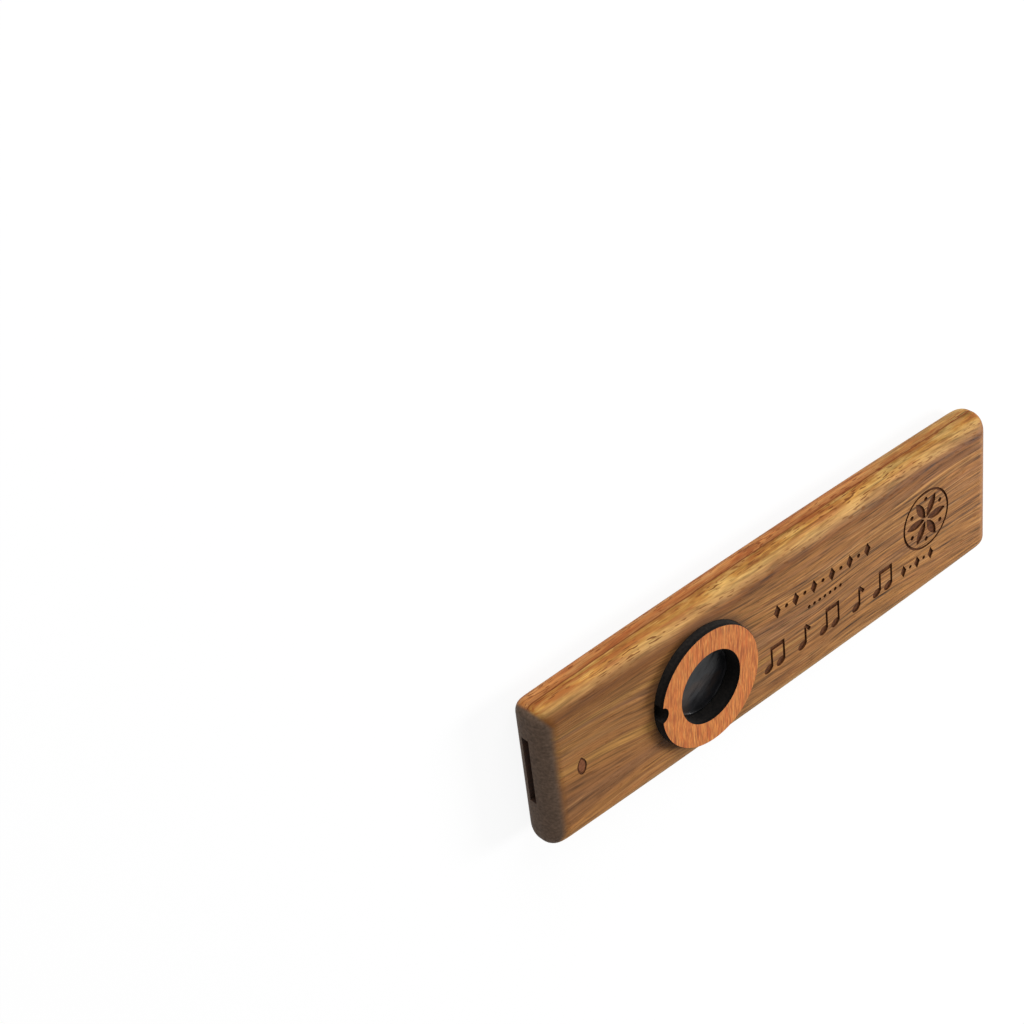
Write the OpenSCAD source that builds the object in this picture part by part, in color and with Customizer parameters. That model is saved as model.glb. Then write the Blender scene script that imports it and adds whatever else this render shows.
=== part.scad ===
// Flat wooden kazoo: two glued boards with an air channel between them, and a
// membrane on its rim, held in a round seat by a push-in ring.
// Millimetres. X runs from the mouth end to the far end, Y across, +Z out of the ring's face.
// The origin is under the middle of the body, on the flat back that it lies on.

/* [Body] */
// Length of the body, mouth end to far end
body_len = 120; // [100:1:150]
// Width of the body at its middle
body_wid = 33.4; // [30:0.2:45]
// Thickness of the two boards together
body_thick = 9.2; // [8.6:0.1:14]
// How much each long side draws in from the middle to the ends
side_bow = 0.7; // [0.2:0.1:3]
// Radius of the round-over along the long edges
edge_r = 4.2; // [1:0.1:6]
// Radius of the round-over across the two ends
end_r = 3.9; // [1:0.1:6]
// Radius of the corners, seen from above
corner_r = 2.3; // [1:0.1:6]

/* [Boards and air channel] */
// Thickness of the back board, up to the glue line
back_thick = 5; // [4:0.1:5.8]
// Width of the air channel and of its slot in the ends
channel_w = 14.6; // [8:0.2:18]
// Depth of the air channel in the back board
channel_d = 1.7; // [1:0.1:2.5]
// Distance of the air channel's middle from the body's middle line
channel_shift = 1.3; // [-3:0.1:3]

/* [Membrane seat] */
// Distance of the seat's centre from the mouth end
seat_from_mouth = 38.3; // [30:0.1:60]
// Diameter of the window under the membrane
window_d = 15; // [10:0.1:18]
// Gap all round between the ring and its seat
ring_gap = 0.05; // [0.02:0.01:0.1]

/* [Ring] */
// Outer diameter of the ring
ring_od = 24.8; // [22:0.1:26]
// Diameter of the hole in the ring
ring_id = 15; // [10:0.1:18]
// Thickness of the ring
ring_t = 3.3; // [2.5:0.1:5]
// How deep the ring sits below the face of the body
ring_sink = 1.3; // [0.5:0.1:1.6]
// Diameter of the round notch in the ring's edge
notch_d = 3.4; // [2:0.1:5]
// How far the notch reaches in from the ring's edge
notch_bite = 1.6; // [0.6:0.1:2.4]
// Direction of the notch, in degrees round from +X
notch_turn = 176; // [0:1:359]

/* [Membrane] */
// Inner diameter of the membrane's rim
rim_id = 17; // [15:0.1:20]
// Thickness of the membrane's rim
rim_t = 0.7; // [0.5:0.1:1]
// Gap all round between the rim and the seat
rim_gap = 0.1; // [0.05:0.01:0.3]
// Thickness of the film
film_t = 0.1; // [0.05:0.01:0.3]
// How far the film's edge stays inside the rim's edge
film_inset = 0.3; // [0.1:0.1:1]

/* [Hidden] */

// Cuts and trimming blocks run past the body by this much
overrun = 1;
// A round-over takes at most this share of half the thickness, so a flat band is left
fillet_share = 0.98;
// At the very ends, the section's corners keep at least this share of its half height
least_share = 0.4;

half_len = body_len / 2;
half_wid = body_wid / 2;
mid_z = body_thick / 2;
side_r = min(edge_r, mid_z * fillet_share);
tip_r = min(end_r, mid_z * fillet_share);
// Radius of the long arc that each side follows
bow_r = (half_len * half_len + side_bow * side_bow) / (2 * side_bow);

seat_x = seat_from_mouth - half_len;
seat_d = ring_od + 2 * ring_gap;
rim_od = seat_d - 2 * rim_gap;
film_d = rim_od - 2 * film_inset;

// Heights, from the back face up: the ring lies on the film, the film on its rim,
// and the rim on the seat's ledge
ring_z = body_thick - ring_sink;
film_z = ring_z - film_t;
rim_z = film_z - rim_t;

// Segments of round parts
round_fn = 96;
// Steps of the loft: round each corner of a section, through each end, and between the ends
arc_steps = 12;
tip_steps = 10;
bow_steps = 12;

// Half width of the body at x, before its corners are rounded
function bow_y(x) = sqrt(bow_r * bow_r - x * x) - (bow_r - half_wid);

// How far a round-over of radius r has fallen away at a distance e from its edge
function fall(e, r) = e < r ? r - sqrt(r * r - (r - e) * (r - e)) : 0;

// Points of the body's section at x: a rounded rectangle that shrinks evenly at the ends
function section_at(x) =
    let (
        e = half_len - abs(x),
        h = mid_z - fall(e, tip_r),
        w = bow_y(x) - fall(e, corner_r),
        r = max(side_r - fall(e, tip_r), h * least_share)
    )
    [for (quarter = [0:3], i = [0:arc_steps])
        let (
            a = 90 * (quarter + i / arc_steps),
            y_side = quarter == 0 || quarter == 3 ? 1 : -1,
            z_side = quarter < 2 ? 1 : -1
        )
        [x, y_side * (w - r) + r * cos(a), mid_z + z_side * (h - r) + r * sin(a)]];

// Stations from the mouth end to the far end, close together round the ends
tip_reach = max(tip_r, corner_r);
tip_x = [for (i = [0:tip_steps]) half_len - tip_reach * (1 - cos(90 * i / tip_steps))];
bow_x = [for (i = [1:bow_steps - 1]) (half_len - tip_reach) * (2 * i / bow_steps - 1)];
stations = concat(
    [for (x = tip_x) -x],
    bow_x,
    [for (i = [tip_steps:-1:0]) tip_x[i]]
);

// The body's outer form, lofted through its sections, before it is split at the glue line
module blank() {
    sections = [for (x = stations) section_at(x)];
    n = len(sections[0]);
    last = len(sections) - 1;
    points = [for (s = sections, p = s) p];
    mouth_cap = [[for (i = [0:n - 1]) i]];
    far_cap = [[for (i = [n - 1:-1:0]) last * n + i]];
    walls = [for (k = [0:last - 1], i = [0:n - 1], half = [0, 1])
        let (a = k * n + i, b = k * n + (i + 1) % n)
        half == 0 ? [a, a + n, b] : [b, a + n, b + n]];
    polyhedron(points, concat(mouth_cap, far_cap, walls));
}

// A block as large as the body, from one height to another
module layer(low, high) {
    translate([-half_len - overrun, -half_wid - overrun, low])
        cube([body_len + 2 * overrun, body_wid + 2 * overrun, high - low]);
}

module front_board() {
    color("peru")
        difference() {
            intersection() {
                blank();
                layer(back_thick, body_thick + overrun);
            }
            // Seat for the rim, the film and the foot of the ring
            translate([seat_x, 0, rim_z])
                cylinder(d = seat_d, h = body_thick - rim_z + overrun, $fn = round_fn);
            // Window from the seat down to the air channel
            translate([seat_x, 0, back_thick - overrun])
                cylinder(d = window_d, h = rim_z - back_thick + 2 * overrun, $fn = round_fn);
        }
}

module back_board() {
    color("sandybrown")
        difference() {
            intersection() {
                blank();
                layer(-overrun, back_thick);
            }
            // Air channel, open at both ends
            translate([-half_len - overrun, channel_shift - channel_w / 2, back_thick - channel_d])
                cube([body_len + 2 * overrun, channel_w, channel_d + overrun]);
        }
}

module membrane_rim() {
    color("dimgray")
        translate([seat_x, 0, rim_z])
            difference() {
                cylinder(d = rim_od, h = rim_t, $fn = round_fn);
                translate([0, 0, -overrun])
                    cylinder(d = rim_id, h = rim_t + 2 * overrun, $fn = round_fn);
            }
}

module membrane_film() {
    color("slategray")
        translate([seat_x, 0, film_z])
            cylinder(d = film_d, h = film_t, $fn = round_fn);
}

module retaining_ring() {
    color("chocolate")
        translate([seat_x, 0, ring_z])
            difference() {
                cylinder(d = ring_od, h = ring_t, $fn = round_fn);
                translate([0, 0, -overrun])
                    cylinder(d = ring_id, h = ring_t + 2 * overrun, $fn = round_fn);
                // Notch for a fingernail
                rotate([0, 0, notch_turn])
                    translate([ring_od / 2 + notch_d / 2 - notch_bite, 0, -overrun])
                        cylinder(d = notch_d, h = ring_t + 2 * overrun, $fn = round_fn);
            }
}

front_board();
back_board();
membrane_rim();
membrane_film();
retaining_ring();
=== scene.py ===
# A flat wooden kazoo of two glued boards, lying on its back on a white floor
import math
import bmesh
import bpy
from mathutils import Matrix, Quaternion, Vector


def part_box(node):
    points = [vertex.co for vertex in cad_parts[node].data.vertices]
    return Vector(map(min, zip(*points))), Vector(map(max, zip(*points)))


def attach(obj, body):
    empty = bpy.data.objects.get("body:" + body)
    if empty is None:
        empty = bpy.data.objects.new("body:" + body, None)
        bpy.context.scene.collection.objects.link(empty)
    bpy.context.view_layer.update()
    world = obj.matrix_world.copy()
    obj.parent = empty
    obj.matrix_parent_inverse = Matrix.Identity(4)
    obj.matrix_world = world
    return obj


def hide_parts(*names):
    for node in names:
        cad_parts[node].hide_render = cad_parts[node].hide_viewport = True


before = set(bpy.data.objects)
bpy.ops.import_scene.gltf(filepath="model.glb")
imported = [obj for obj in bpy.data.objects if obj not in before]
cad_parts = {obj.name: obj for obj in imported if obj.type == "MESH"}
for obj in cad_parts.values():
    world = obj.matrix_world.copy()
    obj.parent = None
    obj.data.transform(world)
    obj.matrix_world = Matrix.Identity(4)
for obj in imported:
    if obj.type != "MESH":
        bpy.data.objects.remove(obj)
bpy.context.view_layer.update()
mm = 0.001
print("frame loaded")


# Shader maths: a Signal is one socket, and sums of signals add their own nodes
class Signal:
    def __init__(self, recipe, socket):
        self.recipe = recipe
        self.socket = socket

    def __add__(self, other):
        return self.recipe.maths("ADD", self, other)

    def __radd__(self, other):
        return self.recipe.maths("ADD", other, self)

    def __sub__(self, other):
        return self.recipe.maths("SUBTRACT", self, other)

    def __rsub__(self, other):
        return self.recipe.maths("SUBTRACT", other, self)

    def __mul__(self, other):
        return self.recipe.maths("MULTIPLY", self, other)

    def __rmul__(self, other):
        return self.recipe.maths("MULTIPLY", other, self)

    def __abs__(self):
        return self.recipe.maths("ABSOLUTE", self)

    def above(self, edge, softness):  # 0 below the edge, 1 above it
        sockets = {"Value": self, "From Min": edge - softness, "From Max": edge + softness}
        return self.recipe.add("ShaderNodeMapRange", {"interpolation_type": "SMOOTHSTEP"}, sockets)

    def below(self, edge, softness):
        return 1 - self.above(edge, softness)


class Recipe:  # the nodes of one material, or of the world
    def __init__(self, owner):
        self.owner = owner
        owner.use_nodes = True
        self.tree = owner.node_tree
        self.tree.nodes.clear()

    def add(self, kind, settings=None, sockets=None, output=0):
        node = self.tree.nodes.new(kind)
        for key, value in (settings or {}).items():
            if key == "stops":
                self.setStops(node.color_ramp, value)
            else:
                setattr(node, key, value)
        for key, value in (sockets or {}).items():
            if isinstance(value, Signal):
                self.tree.links.new(value.socket, node.inputs[key])
            else:
                node.inputs[key].default_value = value
        return Signal(self, node.outputs[output]) if node.outputs else None

    def setStops(self, ramp, stops):
        while len(ramp.elements) < len(stops):
            ramp.elements.new(0.5)
        for element, (at, tone) in zip(ramp.elements, stops):
            element.position = at
            element.color = tone

    def maths(self, operation, *values):
        return self.add("ShaderNodeMath", {"operation": operation}, dict(enumerate(values)))

    def vector(self, operation, first, second):
        return self.add("ShaderNodeVectorMath", {"operation": operation}, {0: first, 1: second})

    def parts(self, vector):
        first = self.add("ShaderNodeSeparateXYZ", sockets={0: vector})
        return [Signal(self, output) for output in first.socket.node.outputs]

    def position(self):
        return self.add("ShaderNodeTexCoord", output="Object")

    def normal(self):
        return self.add("ShaderNodeTexCoord", output="Normal")

    def away(self, spot, centre):  # how far a spot is from an upright axis
        x, y = self.parts(self.vector("SUBTRACT", spot, tuple(centre)))[:2]
        return self.maths("SQRT", x * x + y * y)

    def stretched(self, vector, size, turn=0.0, drift=(0, 0, 0)):
        sockets = {"Vector": vector, "Scale": size, "Rotation": (0, 0, turn), "Location": drift}
        return self.add("ShaderNodeMapping", {"vector_type": "TEXTURE"}, sockets)

    def noise(self, vector, detail=2.0, roughness=0.5, output="Fac"):
        sockets = {"Vector": vector, "Scale": 1.0, "Detail": detail, "Roughness": roughness}
        return self.add("ShaderNodeTexNoise", sockets=sockets, output=output)

    def swayed(self, spot, size, reach, detail=2.0, drift=(0, 0, 0)):  # bends what is laid on it
        sway = self.noise(self.stretched(spot, size, drift=drift), detail, output="Color")
        sway = self.vector("MULTIPLY", self.vector("SUBTRACT", sway, (0.5, 0.5, 0.5)), reach)
        return self.vector("ADD", spot, sway)

    def ramp(self, value, stops):
        return self.add("ShaderNodeValToRGB", {"stops": stops}, {"Fac": value})

    def blend(self, first, second, share):
        sockets = {0: share, 6: first, 7: second}
        return self.add("ShaderNodeMix", {"data_type": "RGBA"}, sockets, output=2)

    def scaled(self, tone, amount):  # a colour made darker or lighter
        if not isinstance(tone, Signal):
            tone = tone[:3]
        return self.add("ShaderNodeVectorMath", {"operation": "SCALE"}, {0: tone, "Scale": amount})

    def shade(self, tone, sockets, height=None, depth=0.1 * mm, strength=1.0):
        values = dict(sockets)
        values["Base Color"] = tone
        if height is not None:
            bump = {"Height": height, "Distance": depth, "Strength": strength}
            values["Normal"] = self.add("ShaderNodeBump", sockets=bump)
        surface = self.add("ShaderNodeBsdfPrincipled", sockets=values)
        self.add("ShaderNodeOutputMaterial", sockets={"Surface": surface})
        return self.owner


def colour(red, green, blue):  # a colour as a screen shows it, 0 to 255
    def linear(value):
        value = value / 255
        return value / 12.92 if value <= 0.04045 else ((value + 0.055) / 1.055) ** 2.4
    return (linear(red), linear(green), linear(blue), 1.0)


# Sizes of the finished pieces, taken from the frame
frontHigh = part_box("front_board")[1]
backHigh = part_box("back_board")[1]
ringLow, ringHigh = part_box("retaining_ring")
filmLow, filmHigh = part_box("membrane_film")
rimLow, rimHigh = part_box("membrane_rim")
seatCentre = Vector(((rimLow.x + rimHigh.x) / 2, (rimLow.y + rimHigh.y) / 2, 0))
ringRadius = (ringHigh.y - ringLow.y) / 2
glueHeight = backHigh.z
faceHeight = frontHigh.z

# Wood of the boards: what both have, then what each has of its own
plank = {
    # Marks of the grain: length, width, and the detail and roughness of the noise
    "bands": (120 * mm, 4.2 * mm, 2, 0.5),
    "greys": (60 * mm, 2.6 * mm, 2, 0.5),
    "streaks": (15 * mm, 0.55 * mm, 3, 0.6),
    "fibres": (5 * mm, 0.25 * mm, 2, 0.5),
    "lines": (70 * mm, 1.5 * mm, 2, 0.5),
    "gleams": (26 * mm, 0.5 * mm, 2, 0.5),
    "pores": (1.8 * mm, 0.27 * mm, 0, 0.5),
    "poreZone": (16 * mm, 2.2 * mm, 1, 0.5),
    "patches": (9 * mm, 1.5 * mm, 3, 0.6),
    # Where a mark starts to show, and how softly
    "greyFrom": (0.57, 0.08),
    "dashFrom": (0.43, 0.07),
    "lineWithin": (0.016, 0.012),  # how near to the middle of its noise
    "gleamFrom": (0.6, 0.05),
    "poreFrom": (0.665, 0.05),
    # How strongly it shows
    "greyShare": 0.55,
    "gleamShare": 0.24,
    "shadeShare": 0.68,
    "lineShare": 0.45,
    "highlightShare": 0.75,
    # The bends of the grain, and where it leans
    "swaySize": (55 * mm, 18 * mm, 16 * mm),
    "swayReach": (0, 7 * mm, 2 * mm),
    "leanFrom": -16 * mm,
    "leanSpan": (-6 * mm, 12 * mm),
    # Places along and across the body
    "mouthFrom": -34 * mm,
    "farFrom": 35 * mm,
    "livelyFrom": (-10 * mm, 25 * mm),
    "greySpan": (-7.5 * mm, 11 * mm),
    "edgeStart": 14.4 * mm,
    "highlightFrom": (2.7 * mm, 1.1 * mm),  # where the painted highlight on the round edge starts, above the glue line
    "wobbleSize": (14 * mm, 6 * mm, 3 * mm),
    "wobbleReach": 3 * mm,
    # Tones
    "shadeTone": colour(98, 56, 22),
    # The mouth end's tone holds painted shade as well as end grain
    "endTone": colour(104, 85, 71),
    "farEndTone": colour(118, 80, 52),
}
frontLook = {
    "turn": math.radians(-1),
    "drift": (0, 0, 0),
    "lean": 0.14,  # how much the figure slants on the mouth's side of leanFrom
    "tones": [
        (0.32, colour(124, 82, 45)),
        (0.41, colour(139, 93, 50)),
        (0.48, colour(145, 99, 52)),
        (0.55, colour(138, 91, 50)),
        (0.63, colour(151, 107, 57)),
        (0.72, colour(160, 115, 58)),
    ],
    "greyTone": colour(122, 86, 60),
    "edgeTones": [
        (0.36, colour(146, 88, 40)),
        (0.50, colour(166, 117, 54)),
        (0.64, colour(190, 148, 82)),
    ],
    # The upper round edge's tone: paler wood with a painted highlight in it
    "edgeHighlightTone": colour(167, 130, 82),
    "lineTone": colour(84, 50, 28),
    "poreTone": colour(98, 54, 26),
    "gleamTone": colour(182, 138, 86),
    "shadeBand": 13.0 * mm,  # where the dark band beside the round edge lies
    "mouthLift": 0.16,  # how much lighter the round edge is near the mouth
    "farTint": (-0.14, -0.13, -0.1),  # what its red, green and blue gain near the far end
    "mouthSlope": -12.0,  # how much its mouth end lightens across the face, for a metre
    "roughness": 0.6,
}
backLook = {
    "turn": math.radians(1.5),
    "drift": (40 * mm, 9 * mm, 30 * mm),
    "lean": 0.0,
    "tones": [
        (0.30, colour(150, 88, 42)),
        (0.42, colour(168, 102, 50)),
        (0.52, colour(182, 116, 58)),
        (0.62, colour(172, 106, 52)),
        (0.74, colour(190, 130, 68)),
    ],
    "greyTone": colour(158, 108, 76),
    "edgeTones": [
        (0.36, colour(154, 88, 44)),
        (0.50, colour(170, 109, 58)),
        (0.64, colour(182, 126, 74)),
    ],
    # Tone of the painted highlight, which never reaches the back board
    "edgeHighlightTone": colour(168, 107, 58),
    "lineTone": colour(120, 60, 32),
    "poreTone": colour(116, 62, 32),
    "gleamTone": colour(204, 146, 86),
    "shadeBand": 30.0 * mm,  # off the board, because it has none
    "mouthLift": 0.1,
    "farTint": (0.0, 0.34, 0.34),
    "mouthSlope": 0.0,
    "roughness": 0.58,
}
glueLine = {
    "tone": colour(100, 44, 16), "halfWidth": 0.14 * mm, "share": 0.78,
    "fade": 0.5 * mm, "fadeShare": 0.14,
    "wave": 0.35 * mm, "waveSize": (7 * mm, 30 * mm, 30 * mm),
    "streakTone": colour(122, 56, 24), "streakReach": 1.1 * mm, "streakShare": 0.48,
}
# A painted shadow on the face round the ring's seat, darkest next to the ring
seatShadow = {"tone": colour(62, 42, 32), "from": 0.6 * mm, "reach": 1.7 * mm, "share": 0.84}


def plankWood(name, look):
    wood = Recipe(bpy.data.materials.new(name))
    spot = wood.position()
    x, y, z = wood.parts(spot)
    facing = wood.parts(wood.normal())
    low, high = plank["leanSpan"]
    leaning = y.above(low, 8 * mm) * y.below(high, 4 * mm)
    lean = look["lean"] * wood.maths("MINIMUM", x - plank["leanFrom"], 0) * leaning
    lean = wood.add("ShaderNodeCombineXYZ", sockets={"Y": lean})
    grain = wood.swayed(spot, plank["swaySize"], plank["swayReach"], 1, look["drift"])
    grain = wood.vector("ADD", grain, lean)

    def figure(mark):  # noise drawn out along the grain
        along, across, detail, roughness = plank[mark]
        size = (along, across, across)
        return wood.noise(wood.stretched(grain, size, look["turn"], look["drift"]), detail, roughness)

    streaks, fibres, patches = figure("streaks"), figure("fibres"), figure("patches")

    # The face, with grey streaks along its middle
    face = wood.ramp(figure("bands"), look["tones"])
    low, high = plank["greySpan"]
    greyZone = 0.25 + 0.75 * y.above(low, 2 * mm) * y.below(high, 1.5 * mm)
    greyMask = plank["greyShare"] * greyZone * figure("greys").above(*plank["greyFrom"])
    face = wood.blend(face, look["greyTone"], greyMask)
    slope = look["mouthSlope"] * y - 0.04
    face = wood.scaled(face, 1 + x.below(plank["mouthFrom"], 8 * mm) * slope)

    # The round edge, lighter towards the face: partly its own paler wood, partly a painted highlight
    # on the upper part that faces the light
    side = wood.ramp(patches, look["edgeTones"])
    highlightMask = (z - glueHeight).above(*plank["highlightFrom"])
    side = wood.blend(side, look["edgeHighlightTone"], plank["highlightShare"] * highlightMask)
    side = wood.scaled(side, 1 + look["mouthLift"] * x.below(plank["mouthFrom"], 14 * mm))
    tint = wood.scaled(look["farTint"], x.above(plank["farFrom"], 14 * mm))
    side = wood.vector("MULTIPLY", side, wood.vector("ADD", tint, (1, 1, 1)))
    wobble = plank["wobbleReach"] * (wood.noise(wood.stretched(spot, plank["wobbleSize"]), 3) - 0.5)
    edge = (abs(y) + wobble).above(plank["edgeStart"], 1.3 * mm)
    tone = wood.blend(face, side, edge)

    # Gleams, the dark band beside the round edge, and the light and dark of streaks and fibres
    lively = 0.85 + 0.45 * x.above(*plank["livelyFrom"])
    gleamMask = plank["gleamShare"] * lively * figure("gleams").above(*plank["gleamFrom"])
    tone = wood.blend(tone, look["gleamTone"], gleamMask)
    shadeMask = abs(y + wobble - look["shadeBand"]).below(1.2 * mm, 1.0 * mm)
    tone = wood.blend(tone, plank["shadeTone"], plank["shadeShare"] * shadeMask)
    dashes = streaks.below(*plank["dashFrom"]) * (1 - 0.6 * edge)
    fine = (1.25 - 0.45 * edge) * (fibres - 0.5)
    light = 0.99 + lively * (0.9 * (streaks - 0.5) - 0.3 * dashes + fine)
    calm = 1 - 0.8 * abs(facing[0]).above(0.16, 0.14)
    tone = wood.scaled(tone, 1 + calm * (light - 1))

    # Thin dark lines on the face, and pores, most of them on the round edge
    lineMask = abs(figure("lines") - 0.5).below(*plank["lineWithin"]) * streaks.above(0.42, 0.1)
    tone = wood.blend(tone, look["lineTone"], plank["lineShare"] * lineMask * (1 - edge))
    poreMask = (figure("pores") + 0.01 * edge).above(*plank["poreFrom"])
    poreMask = poreMask * (0.25 + 0.75 * figure("poreZone").above(0.5, 0.1))
    tone = wood.blend(tone, look["poreTone"], poreMask * (0.25 + 0.6 * edge))

    # Painted shadow round the seat, where the ring stands up, and the glue line with its red streaks
    seatShadowMask = wood.away(spot, seatCentre).below(ringRadius + seatShadow["from"], seatShadow["reach"])
    seatShadowMask = seatShadowMask * z.above(faceHeight - 1 * mm, 0.5 * mm)
    tone = wood.blend(tone, seatShadow["tone"], seatShadow["share"] * seatShadowMask)
    wave = glueLine["wave"] * (wood.noise(wood.stretched(spot, glueLine["waveSize"]), 2) - 0.5)
    glueAway = abs(z - glueHeight + wave)
    redStreaks = streaks.above(0.5, 0.05) * glueAway.below(glueLine["streakReach"], 0.3 * mm)
    tone = wood.blend(tone, glueLine["streakTone"], glueLine["streakShare"] * redStreaks)
    fade = glueAway.below(glueLine["fade"], glueLine["fade"])
    tone = wood.scaled(tone, 1 - glueLine["fadeShare"] * fade)
    glueMask = glueAway.below(glueLine["halfWidth"], 0.08 * mm)
    tone = wood.blend(tone, glueLine["tone"], glueLine["share"] * glueMask)

    # End grain, darker and greyer at the mouth end: there partly end grain, partly painted shade, as
    # that end faces away from the light
    speckle = wood.noise(wood.stretched(spot, (0.9 * mm, 0.5 * mm, 0.5 * mm)), 3)
    endTone = wood.blend(plank["endTone"], plank["farEndTone"], x.above(0, 1 * mm))
    endTone = wood.scaled(endTone, 1.4 * speckle + 0.5 * patches + 0.05)
    endGrainAndShade = (abs(facing[0]) - 0.5 * wood.maths("MAXIMUM", facing[1], 0)).above(0.36, 0.2)
    tone = wood.blend(tone, endTone, endGrainAndShade)
    height = 0.5 * fibres + 0.3 * streaks - 0.9 * poreMask
    finish = {"Roughness": look["roughness"] + 0.2 * poreMask + 0.15 * (streaks - 0.5)}
    finish["Specular IOR Level"] = 0.1
    return wood.shade(tone, finish, height, 0.05 * mm, 0.5)


def rawWood(name, light, dark):  # bare wood inside the cuts
    wood = Recipe(bpy.data.materials.new(name))
    fibres = wood.noise(wood.stretched(wood.position(), (7 * mm, 0.3 * mm, 0.3 * mm)), 3)
    tone = wood.ramp(fibres, [(0.35, dark), (0.65, light)])
    return wood.shade(tone, {"Roughness": 0.8}, fibres, 0.06 * mm, 0.6)


def burntWood(name, light, dark, sootFrom=1.0, hole=0.0):  # blackest above sootFrom, and darker in the hole, where that is painted shade
    wood = Recipe(bpy.data.materials.new(name))
    spot = wood.position()
    soot = wood.noise(wood.stretched(spot, (0.6 * mm, 0.5 * mm, 0.5 * mm)), 3)
    tone = wood.ramp(soot, [(0.3, dark), (0.75, light)])
    height = wood.parts(spot)[2]
    tone = wood.scaled(tone, 1 - 0.6 * height.above(sootFrom, 0.3 * mm))
    # Painted shade: the wall in the hole is made darker, as less light gets in there
    if hole:
        inside = wood.away(spot, seatCentre).below(hole + 1 * mm, 0.5 * mm)
        tone = wood.scaled(tone, 1 - 0.45 * inside)
    finish = {"Roughness": 0.85, "Specular IOR Level": 0.1}
    return wood.shade(tone, finish, soot, 0.05 * mm, 0.6)


frontWood = plankWood("frontWood", frontLook)
backWood = plankWood("backWood", backLook)
seatWood = rawWood("seatWood", colour(176, 128, 82), colour(132, 88, 54))
# The channel's wood is darker: partly slight char, partly painted shade in the deep channel
channelShadeWood = rawWood("channelShadeWood", colour(74, 46, 30), colour(44, 27, 18))
markBurn = burntWood("markBurn", colour(100, 58, 30), colour(56, 31, 16))
markScorch = burntWood("markScorch", colour(126, 78, 50), colour(100, 60, 38))
print("wood mixed")


# Helpers for meshes
sharpAngle = 35
mergeReach = 0.001 * mm


def shadeSmooth(mesh, sharpFrom):
    mesh.polygons.foreach_set("use_smooth", [True] * len(mesh.polygons))
    mesh.set_sharp_from_angle(angle=math.radians(sharpFrom))


def finishMesh(name, bm, materials, sharpFrom=sharpAngle):
    bmesh.ops.remove_doubles(bm, verts=bm.verts, dist=mergeReach)
    bmesh.ops.recalc_face_normals(bm, faces=bm.faces)
    mesh = bpy.data.meshes.new(name)
    bm.to_mesh(mesh)
    bm.free()
    for material in materials:
        mesh.materials.append(material)
    shadeSmooth(mesh, sharpFrom)
    piece = bpy.data.objects.new(name, mesh)
    bpy.context.scene.collection.objects.link(piece)
    return piece


def carve(piece, cutters):
    for cutter in cutters:
        cut = piece.modifiers.new("cut", "BOOLEAN")
        cut.object = cutter
        cut.operation = "DIFFERENCE"
        cut.solver = "EXACT"
        cut.material_mode = "TRANSFER"
    depsgraph = bpy.context.evaluated_depsgraph_get()
    mesh = bpy.data.meshes.new_from_object(piece.evaluated_get(depsgraph))
    piece.modifiers.clear()
    shadeSmooth(mesh, sharpAngle)
    piece.data = mesh
    for cutter in cutters:
        bpy.data.objects.remove(cutter, do_unlink=True)
    weighted = piece.modifiers.new("evenShading", "WEIGHTED_NORMAL")
    weighted.keep_sharp = True


def lathe(bm, profile, centre, steps):  # profile holds (radius, height), from the axis out and back
    verts = [bm.verts.new((centre.x + radius, centre.y, height)) for radius, height in profile]
    edges = [bm.edges.new(pair) for pair in zip(verts, verts[1:])]
    bmesh.ops.spin(
        bm, geom=verts + edges, cent=centre, axis=(0, 0, 1), dvec=(0, 0, 0),
        angle=math.tau, steps=steps, use_merge=True, use_duplicate=False)


# The two boards
boardShape = {
    "sideBow": 0.7 * mm,
    "edgeRadius": 4.2 * mm,
    "endRadius": 3.9 * mm,
    "cornerRadius": 2.3 * mm,
    "leastShare": 0.4,  # what the corners keep of the half height at the very ends
    "cornerSegments": 14,
    "endSteps": 12,
    "bowSteps": 16,
    "splitReach": 0.002 * mm,  # how near to the glue line counts as on it
}


def fallAway(reach, radius):
    if reach >= radius:
        return 0.0
    return radius - math.sqrt(radius ** 2 - (radius - reach) ** 2)


def boardStations(halfLength):
    reach = max(boardShape["endRadius"], boardShape["cornerRadius"])
    steps = boardShape["endSteps"]
    tips = [halfLength - reach * (1 - math.cos(math.pi / 2 * i / steps)) for i in range(steps + 1)]
    count = boardShape["bowSteps"]
    middle = [(halfLength - reach) * (2 * i / count - 1) for i in range(1, count)]
    return [-x for x in tips] + middle + tips[::-1]


def fitSection(verts, corner, aim, x, halfLength, halfWidth):
    bow = boardShape["sideBow"]
    bowRadius = (halfLength ** 2 + bow ** 2) / (2 * bow)
    reach = halfLength - abs(x)
    middle = faceHeight / 2
    fall = fallAway(reach, boardShape["endRadius"])
    high = middle - fall
    wide = math.sqrt(bowRadius ** 2 - x ** 2) - bowRadius + halfWidth
    wide -= fallAway(reach, boardShape["cornerRadius"])
    radius = max(boardShape["edgeRadius"] - fall, high * boardShape["leastShare"])
    for vert in verts:
        vert.co.x = x
        vert.co.y = vert[corner].y * (wide - radius) + vert[aim].y * radius
        vert.co.z = middle + vert[corner].z * (high - radius) + vert[aim].z * radius


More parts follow.
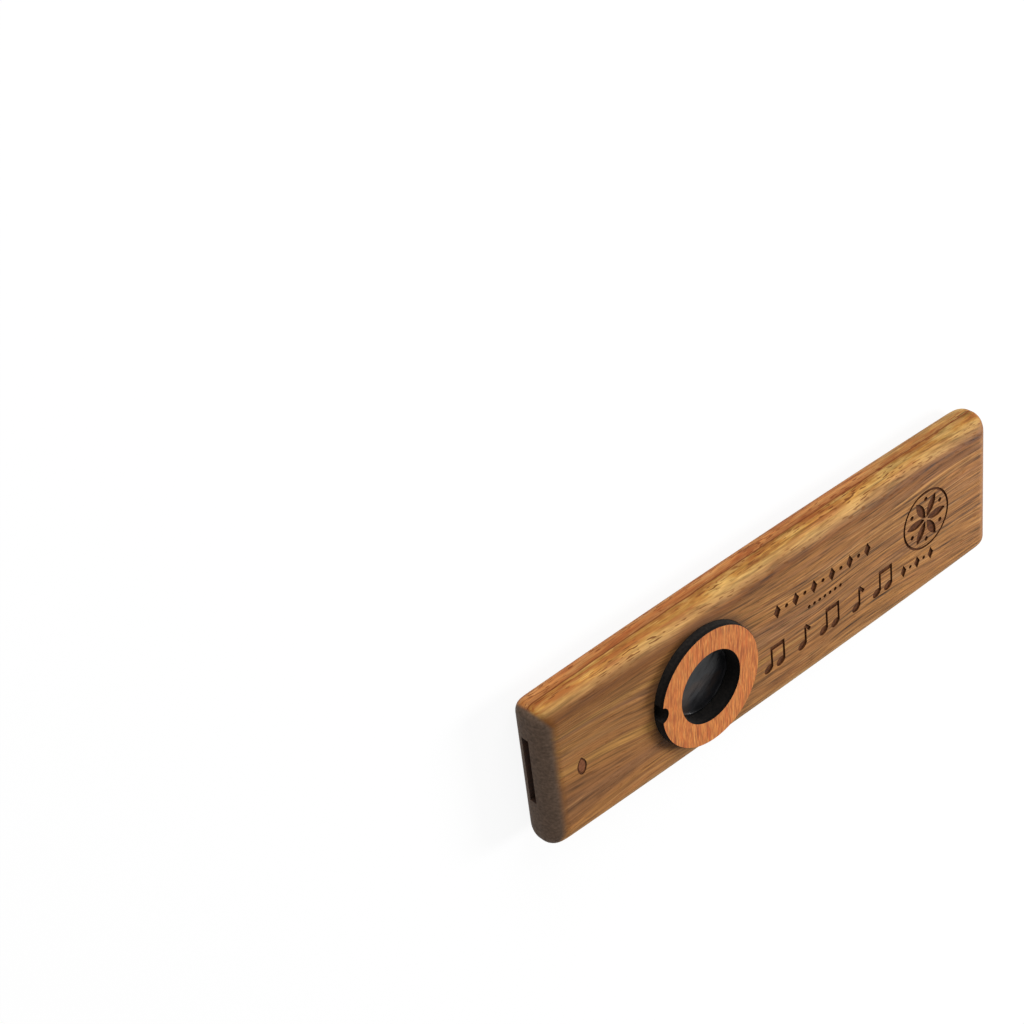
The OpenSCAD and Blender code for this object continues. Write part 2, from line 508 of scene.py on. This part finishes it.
def boardBlank():
    bm = bmesh.new()
    corner = bm.verts.layers.float_vector.new("corner")
    aim = bm.verts.layers.float_vector.new("aim")
    bmesh.ops.create_grid(bm, x_segments=1, y_segments=1, size=1)
    bmesh.ops.rotate(bm, verts=bm.verts, matrix=Matrix.Rotation(math.pi / 2, 3, "Y"))
    bmesh.ops.bevel(
        bm, geom=bm.verts[:], affect="VERTICES", offset=0.5,
        segments=boardShape["cornerSegments"], profile=0.5, material=-1)
    for vert in bm.verts:
        vert[corner] = (0, math.copysign(1, vert.co.y), math.copysign(1, vert.co.z))
        vert[aim] = (vert.co - vert[corner] / 2) * 2
    halfLength, halfWidth = frontHigh.x, frontHigh.y
    stations = boardStations(halfLength)
    bm.faces.ensure_lookup_table()
    face = bm.faces[0]
    fitSection(face.verts, corner, aim, stations[0], halfLength, halfWidth)
    for x in stations[1:]:
        grown = bmesh.ops.extrude_face_region(bm, geom=[face])["geom"]
        if x > stations[1]:
            bmesh.ops.delete(bm, geom=[face], context="FACES_ONLY")
        face = next(part for part in grown if isinstance(part, bmesh.types.BMFace))
        fitSection(face.verts, corner, aim, x, halfLength, halfWidth)
    return bm


def splitBlank(bm, keepAbove):
    parts = bm.verts[:] + bm.edges[:] + bm.faces[:]
    bmesh.ops.bisect_plane(
        bm, geom=parts, dist=boardShape["splitReach"],
        plane_co=(0, 0, glueHeight), plane_no=(0, 0, 1),
        clear_inner=keepAbove, clear_outer=not keepAbove)
    rim = [edge for edge in bm.edges if edge.is_boundary]
    bmesh.ops.holes_fill(bm, edges=rim)


seatCut = {
    "clearance": 0.05 * mm, "chamfer": 0.12 * mm, "windowRadius": 7.5 * mm,
    "steps": 128, "overrun": 1 * mm,
}


def seatCutter():
    bm = bmesh.new()
    over, chamfer = seatCut["overrun"], seatCut["chamfer"]
    seat = ringRadius + seatCut["clearance"]
    window = seatCut["windowRadius"]
    low, high = glueHeight - over, faceHeight + over
    profile = [
        (0, low), (window, low), (window, rimLow.z), (seat, rimLow.z),
        (seat, faceHeight - chamfer), (seat + chamfer + over, high), (0, high)]
    lathe(bm, profile, seatCentre, seatCut["steps"])
    return finishMesh("seatCutter", bm, [seatWood])


channel = {"width": 14.6 * mm, "depth": 1.7 * mm, "shift": 1.3 * mm, "overrun": 1 * mm}


def channelCutter():
    bm = bmesh.new()
    over = channel["overrun"]
    bmesh.ops.create_cube(bm, size=1)
    size = (2 * (backHigh.x + over), channel["width"], channel["depth"] + over)
    bmesh.ops.scale(bm, verts=bm.verts, vec=size)
    height = glueHeight - channel["depth"] + size[2] / 2
    bmesh.ops.translate(bm, verts=bm.verts, vec=(0, channel["shift"], height))
    return finishMesh("channelCutter", bm, [channelShadeWood])


# Engraved ornament: notes, rows of diamonds and beads, a rosette and an oval
marks = {
    "depth": 0.3 * mm,
    "overrun": 0.5 * mm,
    "points": {"head": 20, "rowDot": 16, "dot": 14, "petal": 24, "ring": 72, "oval": 48},
    "notes": {
        "start": -3.2 * mm, "step": 7.6 * mm, "count": 5, "y": -7.5 * mm,
        "head": (2.5 * mm, 1.8 * mm), "lean": math.radians(24), "apart": 3.3 * mm,
        "stem": (0.55 * mm, 4.2 * mm), "reach": 0.95 * mm,
        "beam": (3.85 * mm, 0.95 * mm),
        "flag": (2.0 * mm, 0.75 * mm), "flagTurn": math.radians(-48),
    },
    "diamonds": [
        {"start": -1.8 * mm, "step": 2.5 * mm, "count": 11, "y": 4.3 * mm,
         "diamond": (1.9 * mm, 3.2 * mm), "dot": 0.9 * mm},
        {"start": 33.4 * mm, "step": 2.0 * mm, "count": 5, "y": -6.9 * mm,
         "diamond": (1.7 * mm, 2.9 * mm), "dot": 0.8 * mm},
    ],
    "beads": {"start": 6.7 * mm, "step": 1.45 * mm, "count": 7, "y": 0.4 * mm, "dot": 0.8 * mm},
    "rosette": {
        "x": 40.2 * mm, "y": 2.0 * mm, "radius": 6.4 * mm, "line": 0.5 * mm, "petals": 6,
        "petalShare": (0.3, 0.82), "reachShare": 0.47, "dotShare": 0.74, "dot": 1.0 * mm,
    },
    "oval": {
        "x": -52.1 * mm, "y": 0.15 * mm, "wide": 1.9 * mm, "tall": 3.25 * mm,
        "line": 0.6 * mm, "ringDepth": 0.12 * mm, "fillDepth": 0.06 * mm, "pinch": 0.45,
    },
}


def flatShape(bm, points=4):
    return bmesh.ops.create_circle(bm, cap_ends=True, radius=1, segments=points)["verts"]


def place(bm, verts, size, turn, x, y, depth=marks["depth"]):
    bmesh.ops.scale(bm, verts=verts, vec=(size[0] / 2, size[1] / 2, 1))
    bmesh.ops.rotate(bm, verts=verts, matrix=Matrix.Rotation(turn, 3, "Z"))
    bmesh.ops.translate(bm, verts=verts, vec=(x, y, faceHeight - depth))


def bar(bm, size, turn, x, y):
    verts = flatShape(bm)
    bmesh.ops.rotate(bm, verts=verts, matrix=Matrix.Rotation(math.pi / 4, 3, "Z"))
    bmesh.ops.scale(bm, verts=verts, vec=(math.sqrt(2), math.sqrt(2), 1))
    place(bm, verts, size, turn, x, y)


def growUp(bm):
    faces = bm.faces[:]
    grown = bmesh.ops.extrude_face_region(bm, geom=faces)["geom"]
    verts = [part for part in grown if isinstance(part, bmesh.types.BMVert)]
    bmesh.ops.translate(bm, verts=verts, vec=(0, 0, marks["depth"] + marks["overrun"]))


def noteShapes():
    heads, stems, beams = bmesh.new(), bmesh.new(), bmesh.new()
    note, points = marks["notes"], marks["points"]
    reach, tall, y = note["reach"], note["stem"][1], note["y"]
    for index in range(note["count"]):
        x = note["start"] + index * note["step"]
        pair = index % 2 == 0
        for side in ((-0.5, 0.5) if pair else (0,)):
            shift = x + side * note["apart"]
            place(heads, flatShape(heads, points["head"]), note["head"], note["lean"], shift, y)
            bar(stems, note["stem"], 0, shift + reach, y + tall / 2)
        if pair:
            bar(beams, note["beam"], 0, x + reach, y + tall)
        else:
            away, turn = note["flag"][0] / 2, note["flagTurn"]
            tip = (x + reach + away * math.cos(turn), y + tall + away * math.sin(turn))
            bar(beams, note["flag"], turn, *tip)
    return heads, stems, beams


def pointed(verts):  # draws a circle's sides in to a tip at each end
    for vert in verts:
        vert.co.x *= abs(vert.co.x)


def otherShapes():
    bm = bmesh.new()
    points = marks["points"]
    for row in marks["diamonds"]:
        for index in range(row["count"]):
            x = row["start"] + index * row["step"]
            if index % 2:
                dot = flatShape(bm, points["rowDot"])
                place(bm, dot, (row["dot"], row["dot"]), 0, x, row["y"])
            else:
                place(bm, flatShape(bm), row["diamond"], 0, x, row["y"])
    beads = marks["beads"]
    for index in range(beads["count"]):
        x = beads["start"] + index * beads["step"]
        place(bm, flatShape(bm, points["dot"]), (beads["dot"], beads["dot"]), 0, x, beads["y"])
    rose = marks["rosette"]
    petalSize = [rose["radius"] * share for share in rose["petalShare"]]
    for index in range(rose["petals"]):
        turn = math.tau * index / rose["petals"]
        between = turn + math.pi / rose["petals"]
        reach = rose["radius"] * rose["reachShare"]
        far = rose["radius"] * rose["dotShare"]
        petal = flatShape(bm, points["petal"])
        pointed(petal)
        x, y = rose["x"] + reach * math.cos(turn), rose["y"] + reach * math.sin(turn)
        place(bm, petal, petalSize, turn - math.pi / 2, x, y)
        x, y = rose["x"] + far * math.cos(between), rose["y"] + far * math.sin(between)
        place(bm, flatShape(bm, points["dot"]), (rose["dot"], rose["dot"]), 0, x, y)
    return bm


def grooveRing(centre, radius, line, stretch, depth=marks["depth"]):
    bm = bmesh.new()
    low, high = faceHeight - depth, faceHeight + marks["overrun"]
    profile = [
        (radius - line / 2, low), (radius + line / 2, low),
        (radius + line / 2, high), (radius - line / 2, high), (radius - line / 2, low)]
    lathe(bm, profile, Vector((0, 0, 0)), marks["points"]["ring"])
    bmesh.ops.scale(bm, verts=bm.verts, vec=(stretch, 1, 1))
    bmesh.ops.translate(bm, verts=bm.verts, vec=centre)
    return bm


def pinchTop(bm, centre, high, share):  # draws the upper half in towards a tip
    for vert in bm.verts:
        up = max(0, (vert.co.y - centre.y) / high)
        vert.co.x = centre.x + (vert.co.x - centre.x) * (1 - share * up ** 2)


def markCutters():
    cutters = []
    for index, bm in enumerate(noteShapes() + (otherShapes(),)):
        growUp(bm)
        cutters.append(finishMesh(f"markCutter{index}", bm, [markBurn]))
    rose, oval = marks["rosette"], marks["oval"]
    outer = grooveRing((rose["x"], rose["y"], 0), rose["radius"], rose["line"], 1)
    cutters.append(finishMesh("rosetteRing", outer, [markBurn]))
    centre, high = Vector((oval["x"], oval["y"], 0)), oval["tall"] / 2
    small = grooveRing(centre, high, oval["line"], oval["wide"] / oval["tall"], oval["ringDepth"])
    pinchTop(small, centre, high, oval["pinch"])
    cutters.append(finishMesh("ovalRing", small, [markBurn]))
    fill = bmesh.new()
    shape = flatShape(fill, marks["points"]["oval"])
    place(fill, shape, (oval["wide"], oval["tall"]), 0, oval["x"], oval["y"], oval["fillDepth"])
    growUp(fill)
    pinchTop(fill, centre, high, oval["pinch"])
    cutters.append(finishMesh("ovalFill", fill, [markScorch]))
    return cutters


def makeBoards():
    bm = boardBlank()
    splitBlank(bm, keepAbove=True)
    front = finishMesh("frontBoard", bm, [frontWood])
    carve(front, [seatCutter()] + markCutters())
    bm = boardBlank()
    splitBlank(bm, keepAbove=False)
    back = finishMesh("backBoard", bm, [backWood])
    carve(back, [channelCutter()])
    return front, back


frontBoard, backBoard = makeBoards()
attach(frontBoard, "body")
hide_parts("front_board")
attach(backBoard, "body")
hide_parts("back_board")
print("boards made")


# The push-in ring
ringShape = {
    "holeRadius": 7.5 * mm,
    "notchRadius": 1.7 * mm,
    "notchBite": 1.6 * mm,
    "notchTurn": math.radians(176),
    "notchSteps": 32,
    "steps": 128,
    "edgeBevel": 0.1 * mm,
    "blackHeight": 0.6 * mm,  # how far down its charred walls are blackest
    "flatFrom": 0.9,  # a face that points up or down by more than this shows its wood
}
ringLook = {
    "grainTurn": math.radians(85),
    "streaks": (7 * mm, 0.6 * mm, 0.6 * mm),
    "fibres": (2.6 * mm, 0.26 * mm, 0.26 * mm),
    "flames": (5 * mm, 1.0 * mm, 1.0 * mm),
    "swaySize": (12 * mm, 12 * mm, 12 * mm),
    "swayReach": (2 * mm, 0, 0),
    "tones": [
        (0.36, colour(142, 72, 28)),
        (0.44, colour(168, 92, 40)),
        (0.51, colour(190, 120, 58)),
        (0.58, colour(166, 90, 38)),
        (0.68, colour(200, 134, 70)),
    ],
    "flameTone": colour(178, 90, 40),
    "poreTone": colour(140, 76, 40),
    "burnTones": (colour(40, 36, 33), colour(17, 16, 16)),
}


def ringWood(name, look):
    wood = Recipe(bpy.data.materials.new(name))
    grain = wood.swayed(wood.position(), look["swaySize"], look["swayReach"])
    turn = look["grainTurn"]
    streaks = wood.noise(wood.stretched(grain, look["streaks"], turn), 4, 0.6)
    fibres = wood.noise(wood.stretched(grain, look["fibres"], turn), 2)
    flames = wood.noise(wood.stretched(grain, look["flames"], turn), 2)
    tone = wood.ramp(streaks, look["tones"])
    tone = wood.blend(tone, look["flameTone"], 0.4 * flames.above(0.57, 0.06))
    tone = wood.scaled(tone, 0.98 + 1.5 * (fibres - 0.5))
    tone = wood.blend(tone, look["poreTone"], 0.3 * fibres.below(0.38, 0.05))
    finish = {"Roughness": 0.6, "Specular IOR Level": 0.2}
    return wood.shade(tone, finish, fibres, 0.04 * mm, 0.5)


ringFace = ringWood("ringFace", ringLook)
blackFrom = ringHigh.z - ringShape["blackHeight"]
ringBurn = burntWood("ringBurn", *ringLook["burnTones"], blackFrom, ringShape["holeRadius"])


def makeRing():
    bm = bmesh.new()
    outer = ringRadius
    hole = ringShape["holeRadius"]
    soft = ringShape["edgeBevel"]
    low, high = ringLow.z, ringHigh.z
    profile = [
        (hole, low), (outer - soft, low), (outer, low + soft), (outer, high - soft),
        (outer - soft, high), (hole + soft / 2, high), (hole, high - soft / 2), (hole, low)]
    lathe(bm, profile, seatCentre, ringShape["steps"])
    ring = finishMesh("retainingRing", bm, [ringFace, ringBurn])
    bm = bmesh.new()
    notch = ringShape["notchRadius"]
    bmesh.ops.create_cone(
        bm, cap_ends=True, segments=ringShape["notchSteps"],
        radius1=notch, radius2=notch, depth=2 * (high - low))
    reach = outer + notch - ringShape["notchBite"]
    turn = ringShape["notchTurn"]
    spot = seatCentre + Vector((reach * math.cos(turn), reach * math.sin(turn), (low + high) / 2))
    bmesh.ops.translate(bm, verts=bm.verts, vec=spot)
    carve(ring, [finishMesh("notchCutter", bm, [ringBurn])])
    for polygon in ring.data.polygons:
        polygon.material_index = 0 if abs(polygon.normal.z) > ringShape["flatFrom"] else 1
    return ring


retainingRing = makeRing()
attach(retainingRing, "ring")
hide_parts("retaining_ring")
print("ring made")


# The membrane: a film stretched over its rim
filmShape = {
    "freeRadius": 7.4 * mm, "bulge": 0.1 * mm, "wrinkle": 0.09 * mm,
    "beadAway": 0.25 * mm, "beadHigh": 0.09 * mm,  # the fold that stands up along the ring
    "ripples": ((1, 2, 0.9), (0.5, 5, 2)),  # strength, waves round the film, phase
    "rings": 14, "steps": 96, "sharpFrom": 60,
}
filmLook = {
    "tones": [
        (0.35, colour(13, 13, 15)),
        (0.50, colour(24, 24, 26)),
        (0.65, colour(40, 30, 25)),
    ],
    "wrinkles": (5 * mm, 1.8 * mm, 3 * mm),
    "wrinkleTurn": math.radians(35),
    "clouds": (6 * mm, 4 * mm, 4 * mm),
}
rimLook = {
    "tones": [(0.3, colour(34, 34, 36)), (0.7, colour(48, 48, 51))],
    "grains": (0.3 * mm, 0.3 * mm, 0.3 * mm),
    "clouds": (4 * mm, 4 * mm, 4 * mm),
}


def rimPlastic(name, look):
    plastic = Recipe(bpy.data.materials.new(name))
    spot = plastic.position()
    grainy = plastic.noise(plastic.stretched(spot, look["grains"]), 3)
    cloudy = plastic.noise(plastic.stretched(spot, look["clouds"]), 2)
    tone = plastic.ramp(cloudy, look["tones"])
    return plastic.shade(tone, {"Roughness": 0.42 + 0.2 * grainy}, grainy, 0.02 * mm, 0.4)


def filmSkin(name, look):
    skin = Recipe(bpy.data.materials.new(name))
    spot = skin.position()
    wrinkles = skin.noise(skin.stretched(spot, look["wrinkles"], look["wrinkleTurn"]), 3)
    cloudy = skin.noise(skin.stretched(spot, look["clouds"]), 2)
    tone = skin.ramp(cloudy, look["tones"])
    finish = {"Roughness": 0.28 + 0.14 * cloudy, "Specular IOR Level": 0.27}
    return skin.shade(tone, finish, wrinkles, 0.3 * mm, 0.75)


filmMaterial = filmSkin("filmSkin", filmLook)
rimMaterial = rimPlastic("rimPlastic", rimLook)


def makeFilm():
    bm = bmesh.new()
    outer = (filmHigh.x - filmLow.x) / 2
    free = filmShape["freeRadius"]
    bead = free - filmShape["beadAway"]
    inner = bead - filmShape["beadAway"]
    radii = [inner * i / filmShape["rings"] for i in range(filmShape["rings"] + 1)]
    radii += [(inner + bead) / 2, bead, (bead + free) / 2, free, outer]
    top = [(radius, filmHigh.z) for radius in radii]
    low = [(radius, filmLow.z) for radius in reversed(radii)]
    lathe(bm, top + low, seatCentre, filmShape["steps"])
    bmesh.ops.remove_doubles(bm, verts=bm.verts, dist=mergeReach)
    for vert in bm.verts:
        away = vert.co.xy - seatCentre.xy
        share = min(away.length / free, 1)
        turn = math.atan2(away.y, away.x)
        ripple = 0
        for strength, waves, phase in filmShape["ripples"]:
            ripple += strength * math.sin(waves * turn + phase)
        rise = filmShape["bulge"] * (1 - share ** 2) ** 2
        aside = min(abs(away.length - bead) / filmShape["beadAway"], 1)
        rise += filmShape["beadHigh"] * (1 + math.cos(math.pi * aside)) / 2
        vert.co.z += rise + filmShape["wrinkle"] * ripple * share ** 2 * (1 - share ** 2) * 4
    return finishMesh("membraneFilm", bm, [filmMaterial], filmShape["sharpFrom"])


membraneFilm = makeFilm()
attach(membraneFilm, "membrane")
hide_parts("membrane_film")
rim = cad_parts["membrane_rim"]
rim.data.materials.clear()
rim.data.materials.append(rimMaterial)
print("membrane made")

# Floor, light and camera
stage = {
    "floorSize": 4.0,
    "floorHeight": -0.03 * mm,  # clear of the back face, which lies at zero
    "floorTone": colour(190, 190, 190),
    "floorSeen": colour(250, 250, 250),
    "white": (1, 1, 1, 1),
    "whiteShare": 0.91,
    "skyStrength": 0.3,
    "lights": {  # square lamps that point at the origin
        "keyLight": {"spot": (0.68, -0.1, 0.45), "size": 0.28, "power": 8},
        "sideLight": {"spot": (0.1, 0.8, 0.3), "size": 0.6, "power": 7},
    },
    "camera": Vector((-249.81, 279.58, 256.99)) * mm,
    "aim": Vector((-52.965, 51.427, 0)) * mm,
    "roll": math.radians(119.337),
    "lens": 84.1,
    "sensor": 36,
    "nearest": 0.01,
}


def seenDirectly(recipe):  # 1 where the camera or a mirror looks, 0 where light only falls
    camera = recipe.add("ShaderNodeLightPath", output="Is Camera Ray")
    mirror = recipe.add("ShaderNodeLightPath", output="Is Glossy Ray")
    return recipe.maths("MAXIMUM", camera, mirror)


def makeFloor():
    bm = bmesh.new()
    bmesh.ops.create_grid(bm, x_segments=1, y_segments=1, size=stage["floorSize"] / 2)
    bmesh.ops.translate(bm, verts=bm.verts, vec=(0, 0, stage["floorHeight"]))
    paper = Recipe(bpy.data.materials.new("floorPaper"))
    seen = seenDirectly(paper)
    tone = paper.blend(stage["floorTone"], stage["floorSeen"], seen)
    matte = paper.add("ShaderNodeBsdfDiffuse", sockets={"Color": tone})
    glow = paper.add("ShaderNodeEmission", sockets={"Color": stage["white"], "Strength": 1.0})
    share = stage["whiteShare"] * seen
    surface = paper.add("ShaderNodeMixShader", sockets={0: share, 1: matte, 2: glow})
    paper.add("ShaderNodeOutputMaterial", sockets={"Surface": surface})
    floor = finishMesh("floor", bm, [paper.owner])


def makeSky():
    world = bpy.data.worlds.new("sky")
    bpy.context.scene.world = world
    sky = Recipe(world)
    values = {"Color": stage["white"], "Strength": stage["skyStrength"]}
    light = sky.add("ShaderNodeBackground", sockets=values)
    white = sky.add("ShaderNodeBackground", sockets={"Color": stage["white"], "Strength": 1.0})
    surface = sky.add("ShaderNodeMixShader", sockets={0: seenDirectly(sky), 1: light, 2: white})
    sky.add("ShaderNodeOutputWorld", sockets={"Surface": surface})


def makeLight(name, spot, size, power):
    data = bpy.data.lights.new(name, "AREA")
    data.shape = "SQUARE"
    data.size = size
    data.energy = power
    lamp = bpy.data.objects.new(name, data)
    lamp.location = spot
    lamp.rotation_euler = (-Vector(spot)).to_track_quat("-Z", "Y").to_euler()
    bpy.context.scene.collection.objects.link(lamp)


def makeCamera():
    data = bpy.data.cameras.new("camera")
    data.lens = stage["lens"]
    data.sensor_width = stage["sensor"]
    data.clip_start = stage["nearest"]
    camera = bpy.data.objects.new("camera", data)
    camera.location = stage["camera"]
    aim = (stage["aim"] - stage["camera"]).to_track_quat("-Z", "Y")
    camera.rotation_euler = (aim @ Quaternion((0, 0, 1), stage["roll"])).to_euler()
    bpy.context.scene.collection.objects.link(camera)
    bpy.context.scene.camera = camera


makeFloor()
makeSky()
for name, light in stage["lights"].items():
    makeLight(name, **light)
makeCamera()
bpy.context.scene.view_settings.view_transform = "Standard"
print("stage set")
